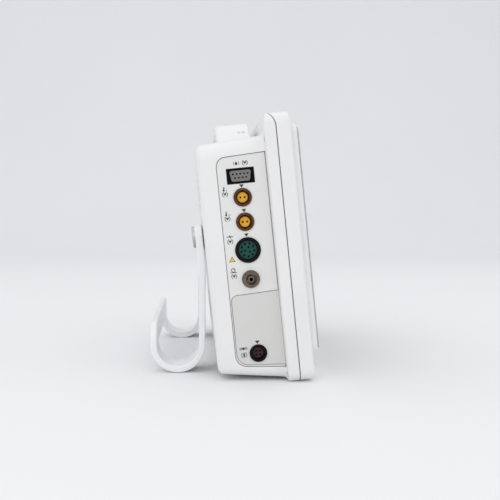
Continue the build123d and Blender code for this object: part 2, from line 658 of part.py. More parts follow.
with BuildPart() as door_latch:
    block((POCKET_FLOOR - 0.9, PANEL_FACE + 0.4), (15.6, 18.7), (37.35, 50.65))
    block((POCKET_FLOOR - 1.7, POCKET_FLOOR - 0.1), (15.6, 20.3), (36.2, 51.8))
    for step in range(3):
        block((PANEL_FACE + 0.2, PANEL_FACE + 0.9), (15.9 + step, 16.4 + step), (38.5, 49.5))
save(door_latch, "door_latch")

with BuildPart() as mains_inlet:
    block((POCKET_FLOOR - 18, PANEL_FACE + 0.2), (PORT_Y - 14.1, PORT_Y + 14.1),
          (INLET_Z - 10.6, INLET_Z + 10.6))
    fillet(mains_inlet.edges().filter_by(Axis.X), 1.5)
    with BuildSketch(facing_right(PANEL_FACE + 1)) as inlet_mouth:
        with Locations((PORT_Y, INLET_Z)):
            Rectangle(24.2, 16.2)
        chamfer(inlet_mouth.vertices().group_by(Axis.Y)[-1], 4.5)
    extrude(amount=-16, mode=Mode.SUBTRACT)
    for dy, dz in ((0, 3.2), (-7, -1.2), (7, -1.2)):
        block((POCKET_FLOOR - 14, PANEL_FACE - 3), (PORT_Y + dy - 1, PORT_Y + dy + 1),
              (INLET_Z + dz - 2, INLET_Z + dz + 2))
save(mains_inlet, "mains_inlet")

with BuildPart() as earth_stud:
    with BuildSketch(facing_right(PANEL_FACE)):
        with Locations((PORT_Y, EARTH_Z)):
            Circle(6)
    extrude(amount=1.2)
    with BuildSketch(facing_right(POCKET_FLOOR - 6)):
        with Locations((PORT_Y, EARTH_Z)):
            Circle(4)
    extrude(amount=PANEL_FACE - POCKET_FLOOR + 6)
    with BuildSketch(facing_right(PANEL_FACE + 1.2)):
        with Locations((PORT_Y, EARTH_Z)):
            Circle(STUD_R)
    extrude(amount=STUD_LENGTH)
save(earth_stud, "earth_stud")

with BuildPart() as network_socket:
    block((POCKET_FLOOR - 14, PANEL_FACE - 0.2), (PORT_Y - 8.1, PORT_Y + 8.1),
          (NETWORK_Z - 6.8, NETWORK_Z + 6.8))
    block((POCKET_FLOOR - 11, PANEL_FACE), (PORT_Y - 6, PORT_Y + 6), (NETWORK_Z - 5.4, NETWORK_Z + 2.6),
          mode=Mode.SUBTRACT)
    block((POCKET_FLOOR - 11, PANEL_FACE), (PORT_Y - 3, PORT_Y + 3), (NETWORK_Z, NETWORK_Z + 5.4),
          mode=Mode.SUBTRACT)
    with Locations(*[(POCKET_FLOOR - 6, PORT_Y - 3.5 + i, NETWORK_Z - 4.9) for i in range(8)]):
        Box(9, 0.4, 1.0)
save(network_socket, "network_socket")

with BuildPart() as usb_sockets:
    for z in USB_Z:
        block((POCKET_FLOOR - 13, PANEL_FACE - 0.2), (PORT_Y - 7.3, PORT_Y + 7.3), (z - 3.55, z + 3.55))
        block((POCKET_FLOOR - 11, PANEL_FACE), (PORT_Y - 6.3, PORT_Y + 6.3), (z - 2.6, z + 2.6),
              mode=Mode.SUBTRACT)
        block((POCKET_FLOOR - 12, PANEL_FACE - 2), (PORT_Y - 5.6, PORT_Y + 5.6), (z + 0.3, z + 2.1))
save(usb_sockets, "usb_sockets")

BAY_FLANGE_X = 46.0
with BuildPart() as battery_bay:
    block((58, 121.5), (13.2, 45.0), (23.0, 69.5))
    block((59.5, 125), (14.7, 43.5), (24.5, 68.0), mode=Mode.SUBTRACT)
    block((BAY_FLANGE_X, 59), (CHASSIS_REAR, CHASSIS_REAR + 1.5), (30, 62))
save(battery_bay, "battery_bay")

with BuildPart() as battery_pack:
    block((60.5, 118.5), (14.9, 43.2), (24.5, 67.5))
    fillet(battery_pack.edges().filter_by(Axis.X), 2.5)
    block((116, 120), (40, 44), (30, 58), mode=Mode.SUBTRACT)
save(battery_pack, "battery_pack")


# ---------------------------------------------------------------- inside the housing
STANDOFFS = [(x, z) for x in (-90, 90) for z in (84, 160)] + [(x, z) for x in (-56, 40) for z in (26, 64)]
with BuildPart() as chassis_plate:
    block((-112, 112), (CHASSIS_FRONT, CHASSIS_REAR), (74, 169))
    block((-70, 56), (CHASSIS_FRONT, CHASSIS_REAR), (18, 75))
    fillet(chassis_plate.edges().filter_by(Axis.Y), 4)
    with BuildSketch(facing_front(20)):
        with Locations(*BOSS_SPOTS):
            Circle(SCREW_CLEAR)
        with Locations((-60, 122), (0, 122), (60, 122)):
            SlotOverall(34, 12)
    extrude(amount=10, mode=Mode.SUBTRACT)
save(chassis_plate, "chassis_plate")


def circuit_board(xs, zs, posts, parts):
    """Board on four posts behind the chassis, with box-shaped parts (x, z, width, height, depth)."""
    with BuildPart() as board:
        block(xs, (BOARD_FRONT, BOARD_REAR), zs)
        for x, z, width, height, depth in parts:
            block((x - width / 2, x + width / 2), (BOARD_REAR, BOARD_REAR + depth),
                  (z - height / 2, z + height / 2))
        with BuildSketch(facing_front(BOARD_FRONT)):
            with Locations(*posts):
                Circle(2.5)
        extrude(amount=BOARD_FRONT - CHASSIS_REAR)
    return board


MAIN_PARTS = (
    (-40, 130, 24, 24, 2.2),    # processor
    (10, 132, 16, 16, 1.6),     # memory
    (44, 128, 14, 10, 1.4),     # display driver
    (70, 112, 30, 9, 6.5),      # panel connector
    (-72, 122, 9, 30, 6.5),     # parameter connector
    (-10, 106, 40, 6, 6),       # power connector
)
save(circuit_board((-96, 96), (78, 166), STANDOFFS[:4], MAIN_PARTS), "main_board")

POWER_PARTS = (
    (-36, 44, 26, 28, 21.4),    # transformer
    (12, 35, 18, 14, 14.4),     # line filter
    (36, 44, 16, 34, 9.4),      # heat sink
    (-10, 60, 30, 8, 6),        # output connector
)
with BuildPart() as power_board:
    add(circuit_board((-62, 45), (20, 68), STANDOFFS[4:], POWER_PARTS).part)
    with BuildSketch(facing_front(BOARD_REAR + 22)):
        with Locations((-10, 28), (-10, 46)):
            Circle(7)
    extrude(amount=22)
save(power_board, "power_board")

with BuildPart() as parameter_board:
    block((-111.4, -109.8), (CHASSIS_REAR, 46), (76, 168))
    with BuildSketch(facing_right(-112)):
        with Locations((PORT_Y, NIBP_Z)):
            Circle(4)
    extrude(amount=4, mode=Mode.SUBTRACT)
    for z, size in ((SPO2_Z, 12), (TEMP_1_Z, 8), (TEMP_2_Z, 8), (ECG_Z, 14)):
        block((-109.8, -107.6), (PORT_Y - size / 2, PORT_Y + size / 2), (z - size / 2, z + size / 2))
save(parameter_board, "parameter_board")

PUMP_Y, PUMP_Z = 43.0, 85.0
INNER_REAR = CASE_REAR - WALL
with BuildPart() as pressure_pump:
    with BuildSketch(facing_right(-58)):
        with Locations((PUMP_Y, PUMP_Z)):
            Circle(12.5)
    extrude(amount=34)
    block((-24, -4), (PUMP_Y - 12, INNER_REAR), (PUMP_Z - 12, PUMP_Z + 12))
    fillet(pressure_pump.edges().filter_by(Axis.X), 3)
    with BuildSketch(facing_right(-76)):
        with Locations((PUMP_Y, PUMP_Z + 4)):
            Circle(2.3)
    extrude(amount=18)
save(pressure_pump, "pressure_pump")

with BuildPart() as valve_block:
    block((-92, -76), (36, INNER_REAR), (76, 100))
    with Locations((-84, 45, 101), (-84, 45, 75)):
        Cylinder(5, 10)
save(valve_block, "valve_block")

with BuildPart() as pressure_tube:
    with BuildLine() as tube_path:
        FilletPolyline(
            (-115.2, PORT_Y, NIBP_Z), (-100, PORT_Y, NIBP_Z), (-100, 47, NIBP_Z), (-92, 47, NIBP_Z),
            radius=7,
        )
    with BuildSketch(Plane(origin=tube_path.line @ 0, z_dir=tube_path.line % 0)):
        Circle(3.5)
        Circle(2.35, mode=Mode.SUBTRACT)
    sweep()
save(pressure_tube, "pressure_tube")

with BuildPart() as speaker:
    with BuildSketch(facing_front(INNER_REAR)):
        with Locations((SPEAKER_X, SPEAKER_Z)):
            Circle(21)
    extrude(amount=3)
    with BuildSketch(facing_front(INNER_REAR - 3)):
        with Locations((SPEAKER_X, SPEAKER_Z)):
            Circle(19)
    extrude(amount=6, taper=35)
    with BuildSketch(facing_front(INNER_REAR - 8)):
        with Locations((SPEAKER_X, SPEAKER_Z)):
            Circle(12)
    extrude(amount=6)
save(speaker, "speaker")


# ---------------------------------------------------------------- carrying handle
casing_top = Plane(
    origin=(0, 0, CASE_TOP_FRONT),
    x_dir=(1, 0, 0),
    z_dir=(0, CASE_TOP_FRONT - CASE_TOP_REAR, CASE_REAR),
)
with BuildPart() as carry_handle:
    with BuildSketch(facing_front(HANDLE_Y[1])) as arch:
        with BuildLine():
            Polyline((-HANDLE_FOOT, 180), (-HANDLE_FOOT, 188), (-HANDLE_SHOULDER, HANDLE_TOP),
                     (HANDLE_SHOULDER, HANDLE_TOP), (HANDLE_FOOT, 188), (HANDLE_FOOT, 180),
                     (GAP_FOOT, 180), (GAP_FOOT, 187.5), (GAP_SHOULDER, GAP_TOP),
                     (-GAP_SHOULDER, GAP_TOP), (-GAP_FOOT, 187.5), (-GAP_FOOT, 180), close=True)
        make_face()
        fillet(arch.vertices().group_by(Axis.Y)[-1], 9)
        fillet(arch.vertices().filter_by(lambda v: abs(v.Y - GAP_TOP) < 0.01), 6)
    extrude(amount=HANDLE_Y[1] - HANDLE_Y[0])
    faces_by_depth = carry_handle.faces().sort_by(Axis.Y)
    side_edges = faces_by_depth[0].edges() + faces_by_depth[-1].edges()
    fillet(side_edges.filter_by(lambda e: e.center().Z > 188.5), 2.6)
    split(bisect_by=casing_top, keep=Keep.TOP)
    with BuildSketch(Plane.XY.offset(180)):
        with Locations(*HANDLE_SCREWS):
            Circle(SCREW_R)
    extrude(amount=13, mode=Mode.SUBTRACT)
save(carry_handle, "carry_handle")


# ---------------------------------------------------------------- bed hook on its swivel
HOOK_BEND = 90.0            # radius of the bend between plate and arms
ARM_OUTER = SADDLE_Y - SADDLE_R - HOOK_THICK
ARM_INNER = SADDLE_Y - SADDLE_R
LIP_INNER = SADDLE_Y + SADDLE_R
INNER_HALF = HOOK_HALF - STRAP


def bend_height(depth, reach):
    """Height, for level(), where a face of the plate meets a face of the upright arm."""
    return (reach * COS - depth) / SIN


with BuildPart() as bed_hook:
    with BuildSketch(Plane.YZ):
        with BuildLine():
            Polyline(
                level(ARM_OUTER, SADDLE_Z),
                level(ARM_OUTER, bend_height(HOOK_PLATE[0], ARM_OUTER)),
                (HOOK_PLATE[0], PLATE_HIGH),
                (HOOK_PLATE[1], PLATE_HIGH),
                level(ARM_INNER, bend_height(HOOK_PLATE[1], ARM_INNER)),
                level(ARM_INNER, SADDLE_Z),
            )
            ThreePointArc(
                level(ARM_INNER, SADDLE_Z),
                level(SADDLE_Y, SADDLE_Z - SADDLE_R),
                level(LIP_INNER, SADDLE_Z),
            )
            Polyline(
                level(LIP_INNER, SADDLE_Z),
                level(LIP_INNER, LIP_HIGH),
                level(REARMOST, LIP_HIGH),
                level(REARMOST, SADDLE_Z),
            )
            ThreePointArc(
                level(REARMOST, SADDLE_Z),
                level(SADDLE_Y, SADDLE_Z - SADDLE_R - HOOK_THICK),
                level(ARM_OUTER, SADDLE_Z),
            )
        make_face()
    extrude(amount=HOOK_HALF, both=True)
    fillet(bed_hook.edges().filter_by(Axis.X).filter_by(
        lambda e: 60 < e.center().Z < 100 and e.center().Y < 80), HOOK_BEND)
    corners = bed_hook.edges().filter_by(lambda e: e.length < 6 and abs(e.center().X) > HOOK_HALF - 1)
    fillet(corners.filter_by(lambda e: e.center().Y > 100), 16)
    corners = bed_hook.edges().filter_by(lambda e: e.length < 6 and abs(e.center().X) > HOOK_HALF - 1)
    fillet(corners.filter_by(lambda e: e.center().Z > 120), 9)
    ends = bed_hook.faces().filter_by(Axis.X)
    fillet(ends.edges(), 1.2)
    # one opening between the arms, up to the plate
    with BuildSketch(facing_front(92)):
        with Locations((0, (PLATE_LOW - 30) / 2)):
            RectangleRounded(2 * INNER_HALF, PLATE_LOW + 30, 15)
    extrude(amount=40, mode=Mode.SUBTRACT)
    # the floor of the J and the wall behind it are open up to the band of the lip
    rearward = Vector(0, *level(1, 0)) - Vector(0, *level(0, 0))
    with BuildSketch(Plane(origin=(0, *level(72, 0)), x_dir=(-1, 0, 0), z_dir=rearward)):
        with Locations((0, (BAND_LOW - 30) / 2)):
            RectangleRounded(2 * INNER_HALF, BAND_LOW + 30, 12)
    extrude(amount=60, mode=Mode.SUBTRACT)
    with BuildSketch(facing_front(80)):
        with Locations((0, PIVOT_Z)):
            Circle(PIVOT_R + RUN_FIT)
    extrude(amount=30, mode=Mode.SUBTRACT)
save(bed_hook, "bed_hook")

WASHER_THICK = 0.6
with BuildPart() as swivel_washer:
    with BuildSketch(facing_front(CASE_REAR + WASHER_THICK)):
        with Locations((0, PIVOT_Z)):
            Circle(11)
            Circle(PIVOT_R + 0.2, mode=Mode.SUBTRACT)
    extrude(amount=WASHER_THICK)
save(swivel_washer, "swivel_washer")

BOLT_HEAD = (HOOK_PLATE[1] + 0.3, HOOK_PLATE[1] + 3.1)
with BuildPart() as swivel_bolt:
    with BuildSketch(facing_front(BOLT_HEAD[1])):
        with Locations((0, PIVOT_Z)):
            Circle(10)
    extrude(amount=BOLT_HEAD[1] - BOLT_HEAD[0])
    fillet(swivel_bolt.faces().sort_by(Axis.Y)[-1].edges(), 1.2)
    with BuildSketch(facing_front(BOLT_HEAD[0])):
        with Locations((0, PIVOT_Z)):
            Circle(PIVOT_R)
    extrude(amount=BOLT_HEAD[0] - (CASE_REAR - 10))
    with BuildSketch(facing_front(BOLT_HEAD[1] + 1)):
        with Locations((0, PIVOT_Z)):
            RegularPolygon(3, 6, major_radius=False)
    extrude(amount=2.8, mode=Mode.SUBTRACT)
save(swivel_bolt, "swivel_bolt")

with BuildPart() as swivel_plate:
    block((-30, 30), (INNER_REAR - 3, INNER_REAR), (PIVOT_Z - 12, PIVOT_Z + 12))
    fillet(swivel_plate.edges().filter_by(Axis.Y), 3)
    with BuildSketch(facing_front(CASE_REAR)):
        with Locations((0, PIVOT_Z)):
            Circle(PIVOT_R + 0.1)
    extrude(amount=8, mode=Mode.SUBTRACT)
save(swivel_plate, "swivel_plate")

with BuildPart() as swivel_nut:
    with BuildSketch(facing_front(INNER_REAR - 3)):
        with Locations((0, PIVOT_Z)):
            RegularPolygon(8, 6, major_radius=False)
            Circle(PIVOT_R, mode=Mode.SUBTRACT)
    extrude(amount=4)
save(swivel_nut, "swivel_nut")


# ---------------------------------------------------------------- feet, screws and inserts
casing_floor = Plane(
    origin=(0, 0, CASE_LOW_FRONT),
    x_dir=(1, 0, 0),
    z_dir=(0, CASE_LOW_REAR - CASE_LOW_FRONT, -CASE_REAR),
)
with BuildPart() as rubber_feet:
    with BuildSketch(casing_floor):
        with GridLocations(184, 27, 2, 2):
            with Locations((0, -35.5)):
                Circle(6.5)
    extrude(amount=9)
    split(bisect_by=upright_plane(0, 0, -LIFT), keep=Keep.TOP)
save(rubber_feet, "rubber_feet")

with BuildPart() as mounting_inserts:
    for insert_x, insert_y in INSERT_SPOTS:
        with BuildSketch(upright_plane(insert_x, insert_y, INSERT_LOW)):
            Circle(INSERT_BODY_R)
            Circle(INSERT_R, mode=Mode.SUBTRACT)
        extrude(amount=INSERT_LENGTH)
save(mounting_inserts, "mounting_inserts")

with BuildPart() as case_screws:
    with BuildSketch(facing_front(SCREW_SEAT + 2.2)):
        with Locations(*SCREW_SPOTS):
            Circle(2.4)
    extrude(amount=2.2)
    with BuildSketch(facing_front(SCREW_SEAT)):
        with Locations(*SCREW_SPOTS):
            Circle(SCREW_R)
    extrude(amount=11)
    with BuildSketch(facing_front(SCREW_SEAT + 3)):
        with Locations(*SCREW_SPOTS):
            RegularPolygon(1.2, 6, major_radius=False)
    extrude(amount=2.3, mode=Mode.SUBTRACT)
save(case_screws, "case_screws")

with BuildPart() as chassis_screws:
    with BuildSketch(facing_front(CHASSIS_FRONT)):
        with Locations(*BOSS_SPOTS):
            Circle(2.7)
    extrude(amount=1.8)
    with BuildSketch(facing_front(CHASSIS_FRONT + 9)):
        with Locations(*BOSS_SPOTS):
            Circle(SCREW_R)
    extrude(amount=9)
save(chassis_screws, "chassis_screws")

with BuildPart() as handle_screws:
    with BuildSketch(Plane.XY.offset(182.0)):
        with Locations(*HANDLE_SCREWS):
            Circle(2.7)
    extrude(amount=1.6)
    with BuildSketch(Plane.XY.offset(183.6)):
        with Locations(*HANDLE_SCREWS):
            Circle(SCREW_R)
    extrude(amount=9.4)
save(handle_screws, "handle_screws")
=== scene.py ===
import json
import math
import bmesh
import bpy
from mathutils import Matrix, Vector


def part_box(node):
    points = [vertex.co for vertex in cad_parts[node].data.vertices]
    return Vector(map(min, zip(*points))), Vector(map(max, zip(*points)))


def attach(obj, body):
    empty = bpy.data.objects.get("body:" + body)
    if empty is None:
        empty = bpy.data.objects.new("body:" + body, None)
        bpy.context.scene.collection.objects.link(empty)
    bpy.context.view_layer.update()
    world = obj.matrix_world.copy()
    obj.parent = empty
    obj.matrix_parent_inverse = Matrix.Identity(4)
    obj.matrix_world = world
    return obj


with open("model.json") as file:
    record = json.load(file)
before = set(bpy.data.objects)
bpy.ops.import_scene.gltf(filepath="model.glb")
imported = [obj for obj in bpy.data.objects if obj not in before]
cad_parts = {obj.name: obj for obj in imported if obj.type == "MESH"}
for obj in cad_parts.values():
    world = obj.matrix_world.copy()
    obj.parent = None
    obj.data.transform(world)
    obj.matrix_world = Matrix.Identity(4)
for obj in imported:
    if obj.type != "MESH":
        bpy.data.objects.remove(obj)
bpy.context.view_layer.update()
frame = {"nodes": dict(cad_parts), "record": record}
record = frame["record"]
nodes = frame["nodes"]
joints = {joint["name"]: joint for joint in record["behaviour"]["joints"]}
mounts = {mount["name"]: Vector(mount["pos_m"]) for mount in record["mounts"]}

# ---------------------------------------------------------------- directions of the leaning housing
MM = 0.001
RIGHT = Vector((1, 0, 0))
REAR = Vector(joints["power_key_press"]["axis"]).normalized()
UP = Vector(joints["battery_door_hinge"]["axis"]).normalized()
PORT_ROW_Y = 29.3 * MM
ECG_HEIGHT = 102.8 * MM
SEAM_FOOT = mounts["ecg_socket"] - REAR * PORT_ROW_Y - UP * ECG_HEIGHT
SEAM_FOOT.x = 0


def housing(x, y, z):
    """A point x right, y behind the seam and z up the leaning housing, in millimetres."""
    return SEAM_FOOT + (RIGHT * x + REAR * y + UP * z) * MM


class Face:
    """A flat face to put small pieces on: an origin, its right and up directions, and its normal."""

    def __init__(self, origin, right, up):
        self.origin = Vector(origin)
        self.right = right
        self.up = up
        self.normal = right.cross(up)

    def at(self, right, up, out=0.0):
        """A point on the face, in millimetres from its origin."""
        return self.origin + (self.right * right + self.up * up + self.normal * out) * MM

    def moved(self, right, up, out=0.0):
        return Face(self.at(right, up, out), self.right, self.up)


def face_of(node, right, up):
    """The face at the middle of a CAD node's outermost side along right x up."""
    normal = right.cross(up)
    points = [vertex.co for vertex in nodes[node].data.vertices]

    def middle(axis):
        reach = [point.dot(axis) for point in points]
        return (min(reach) + max(reach)) / 2
    outermost = max(point.dot(normal) for point in points)
    return Face(right * middle(right) + up * middle(up) + normal * outermost, right, up)


# ---------------------------------------------------------------- materials
class Surface:
    """A node material around one Principled shader, with its texture in the object's own metres."""

    def __init__(self, name, metallic=0.0, coat=0.0, sheen=0.0, ior=1.5):
        self.material = bpy.data.materials.new(name)
        self.material.use_nodes = True
        self.tree = self.material.node_tree
        self.shader = self.tree.nodes["Principled BSDF"]
        self.shader.inputs["Metallic"].default_value = metallic
        self.shader.inputs["Coat Weight"].default_value = coat
        self.shader.inputs["Sheen Weight"].default_value = sheen
        self.shader.inputs["IOR"].default_value = ior
        self.place = self.add("ShaderNodeTexCoord").outputs["Object"]

    def add(self, kind, **settings):
        node = self.tree.nodes.new(kind)
        for name, value in settings.items():
            setattr(node, name, value)
        return node

    def link(self, output, target):
        self.tree.links.new(output, target)

    def stretched(self, scale):
        """The object's coordinates, stretched to brush a texture along one direction."""
        mapping = self.add("ShaderNodeMapping")
        mapping.inputs["Scale"].default_value = scale
        self.link(self.place, mapping.inputs["Vector"])
        return mapping.outputs["Vector"]

    def noise(self, size_mm, detail=2.0, roughness=0.5, place=None):
        """Noise whose features are about size_mm across."""
        node = self.add("ShaderNodeTexNoise")
        node.inputs["Scale"].default_value = 1000.0 / size_mm
        node.inputs["Detail"].default_value = detail
        node.inputs["Roughness"].default_value = roughness
        self.link(place or self.place, node.inputs["Vector"])
        return node.outputs["Fac"]

    def cells(self, size_mm):
        """Rounded pits about size_mm across, as a spark-eroded mould leaves."""
        node = self.add("ShaderNodeTexVoronoi", feature="SMOOTH_F1")
        node.inputs["Scale"].default_value = 1000.0 / size_mm
        node.inputs["Smoothness"].default_value = 0.6
        self.link(self.place, node.inputs["Vector"])
        return node.outputs["Distance"]

    def spread(self, value, low, high, start=0.3, end=0.7):
        """A value from start to end, spread over low to high."""
        node = self.add("ShaderNodeMapRange")
        for name, number in (("From Min", start), ("From Max", end), ("To Min", low), ("To Max", high)):
            node.inputs[name].default_value = number
        self.link(value, node.inputs["Value"])
        return node.outputs["Result"]

    def ramp(self, value, stops):
        """A colour ramp through (position, colour) stops."""
        node = self.add("ShaderNodeValToRGB")
        points = node.color_ramp.elements
        while len(points) < len(stops):
            points.new(0.5)
        for point, (position, colour) in zip(points, stops):
            point.position = position
            point.color = (*colour, 1)
        self.link(value, node.inputs["Fac"])
        return node.outputs["Color"]

    def blend(self, factor, first, second):
        node = self.add("ShaderNodeMix", data_type="RGBA")
        self.link(factor, node.inputs["Factor"])
        self.link(first, node.inputs["A"])
        self.link(second, node.inputs["B"])
        return node.outputs["Result"]

    def math(self, operation, first, second):
        node = self.add("ShaderNodeMath", operation=operation)
        for socket, value in zip(node.inputs, (first, second)):
            if isinstance(value, (int, float)):
                socket.default_value = value
            else:
                self.link(value, socket)
        return node.outputs[0]

    def along(self, axis, origin=0.0):
        """Metres along a direction, from the origin."""
        node = self.add("ShaderNodeVectorMath", operation="DOT_PRODUCT")
        node.inputs[1].default_value = axis
        self.link(self.place, node.inputs[0])
        return self.math("SUBTRACT", node.outputs["Value"], origin)

    def bump(self, *layers):
        """Bumps from (height, depth in mm) layers, one on top of the other."""
        last = None
        for height, depth in layers:
            node = self.add("ShaderNodeBump")
            node.inputs["Distance"].default_value = depth * MM
            self.link(height, node.inputs["Height"])
            if last is not None:
                self.link(last, node.inputs["Normal"])
            last = node.outputs["Normal"]
        self.link(last, self.shader.inputs["Normal"])

    def colour(self, output):
        self.link(output, self.shader.inputs["Base Color"])

    def rough(self, output):
        self.link(output, self.shader.inputs["Roughness"])


def shade(colour, factor):
    return tuple(min(1.0, channel * factor) for channel in colour)


def moulded(name, colour, rough, grain=0.45, depth=0.012, tint=0.03, coat=0.0, patch=38.0, gloss=0.5):
    """Moulded plastic: faint patches of tone, a fine mould texture and a slightly uneven gloss."""
    surface = Surface(name, coat=coat)
    surface.shader.inputs["Specular IOR Level"].default_value = gloss
    tone = surface.noise(patch, detail=3.0)
    surface.colour(surface.ramp(tone, ((0.3, shade(colour, 1 - tint)), (0.7, shade(colour, 1 + tint)))))
    surface.rough(surface.spread(surface.noise(6.0, detail=4.0), rough - 0.05, rough + 0.06))
    surface.bump((surface.cells(grain), depth), (surface.noise(grain * 0.4, detail=3.0), depth * 0.5))
    return surface.material


def insulator(name, colour):
    """A connector's moulded insulator: finer and duller than the housing."""
    return moulded(name, colour, 0.4, grain=0.25, depth=0.008, patch=4.0, gloss=0.3)


def rubber(name, colour, rough=0.62):
    """Moulded rubber: a dull skin with a soft sheen, fine grain and a little bloom."""
    surface = Surface(name, sheen=0.25)
    bloom = surface.noise(9.0, detail=5.0)
    tones = ((0.25, shade(colour, 0.9)), (0.6, colour), (0.85, shade(colour, 1.25)))
    surface.colour(surface.ramp(bloom, tones))
    surface.rough(surface.spread(bloom, rough - 0.06, rough + 0.12))
    surface.bump((surface.noise(0.35, detail=4.0), 0.02), (surface.noise(3.0), 0.02))
    return surface.material


def metal(name, colour, rough, stretch=(1, 1, 1), grain=0.5, depth=0.006, stain=0.12):
    """Bare or plated metal: brush marks along one direction and faint stains."""
    surface = Surface(name, metallic=1.0)
    marks = surface.noise(grain, detail=4.0, roughness=0.65, place=surface.stretched(stretch))
    stains = surface.noise(11.0, detail=4.0)
    tones = ((0.3, shade(colour, 1 - stain)), (0.65, shade(colour, 1 + stain / 2)))
    surface.colour(surface.ramp(stains, tones))
    surface.rough(surface.spread(surface.math("ADD", surface.math("MULTIPLY", marks, 0.6),
                                              surface.math("MULTIPLY", stains, 0.4)),
                                 rough - 0.08, rough + 0.12))
    surface.bump((marks, depth))
    return surface.material


RECESS_START, RECESS_END = 0.6 * MM, 1.4 * MM


def browned_shell(name):
    """Copper-brown metal shell: polished outside, with painted shade darkening the recess behind its mouth.
    """
    surface = Surface(name, metallic=1.0)
    stains = surface.noise(3.0, detail=4.0)
    polished = surface.ramp(stains, ((0.3, (0.085, 0.036, 0.017)), (0.65, (0.15, 0.066, 0.03))))
    # painted shade: a near-black brown stands in for the shadow inside the recess
    painted_recess_shade = surface.ramp(stains, ((0.3, (0.018, 0.011, 0.008)), (0.65, (0.03, 0.018, 0.012))))
    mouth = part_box("temperature_1_collar")[0].x
    # mask of the painted shade, rising with depth past the mouth
    recess = surface.spread(surface.along(RIGHT, mouth), 0.0, 1.0, RECESS_START, RECESS_END)
    surface.colour(surface.blend(recess, polished, painted_recess_shade))
    surface.rough(surface.spread(stains, 0.16, 0.3))
    surface.bump((surface.noise(0.3, detail=4.0), 0.005))
    return surface.material


def powder_coat(name, colour, rough):
    """Powder coat: the soft orange peel of a baked finish over steel."""
    surface = Surface(name, coat=0.25)
    surface.shader.inputs["Coat Roughness"].default_value = 0.25
    surface.colour(surface.ramp(surface.noise(30.0, detail=3.0),
                                ((0.3, shade(colour, 0.975)), (0.7, shade(colour, 1.02)))))
    surface.rough(surface.spread(surface.noise(4.0, detail=3.0), rough - 0.04, rough + 0.06))
    surface.bump((surface.noise(1.7, detail=1.5), 0.03), (surface.noise(0.4, detail=2.0), 0.006))
    return surface.material


def cast(name, colour):
    """Die-cast metal: a sandy skin with flow marks."""
    surface = Surface(name, metallic=1.0)
    flow = surface.noise(7.0, detail=5.0, roughness=0.6)
    surface.colour(surface.ramp(flow, ((0.3, shade(colour, 0.85)), (0.7, shade(colour, 1.08)))))
    surface.rough(surface.spread(flow, 0.38, 0.58))
    surface.bump((surface.noise(0.6, detail=5.0), 0.03), (flow, 0.04))
    return surface.material


def printed_board(name):
    """Solder mask over copper traces, with tinned pads."""
    surface = Surface(name, coat=0.4)
    traces = surface.add("ShaderNodeTexBrick", offset=0.37, squash=1.0)
    traces.inputs["Scale"].default_value = 140.0
    traces.inputs["Mortar Size"].default_value = 0.035
    traces.inputs["Color1"].default_value = (0.012, 0.085, 0.035, 1)
    traces.inputs["Color2"].default_value = (0.016, 0.105, 0.045, 1)
    traces.inputs["Mortar"].default_value = (0.035, 0.19, 0.085, 1)
    surface.link(surface.stretched((1, 0.2, 1)), traces.inputs["Vector"])
    pads = surface.add("ShaderNodeTexVoronoi", feature="F1")
    pads.inputs["Scale"].default_value = 260.0
    surface.link(surface.place, pads.inputs["Vector"])
    pad = surface.math("LESS_THAN", pads.outputs["Distance"], 0.2)
    tin = surface.ramp(surface.noise(2.0), ((0.3, (0.42, 0.43, 0.42)), (0.7, (0.62, 0.62, 0.6))))
    surface.colour(surface.blend(pad, traces.outputs["Color"], tin))
    surface.rough(surface.spread(surface.noise(3.0, detail=3.0), 0.3, 0.42))
    surface.bump((traces.outputs["Fac"], 0.03), (pad, 0.04))
    return surface.material


def frosted_lens(name):
    """Translucent lamp cover: frosted outside, with fine upright ribs that spread the light."""
    surface = Surface(name, coat=0.3)
    surface.shader.inputs["Transmission Weight"].default_value = 0.35
    surface.shader.inputs["Subsurface Weight"].default_value = 0.5
    surface.shader.inputs["Subsurface Scale"].default_value = 0.004
    surface.colour(surface.ramp(surface.noise(8.0, detail=3.0),
                                ((0.3, (0.76, 0.79, 0.77)), (0.7, (0.84, 0.86, 0.84)))))
    surface.rough(surface.spread(surface.noise(1.2, detail=3.0), 0.28, 0.4))
    ribs = surface.add("ShaderNodeTexWave", wave_type="BANDS", bands_direction="X")
    ribs.inputs["Scale"].default_value = 210.0
    surface.link(surface.place, ribs.inputs["Vector"])
    surface.bump((ribs.outputs["Fac"], 0.12))
    return surface.material


BORDER_SIDE, BORDER_TOP = 15 * MM, 11 * MM


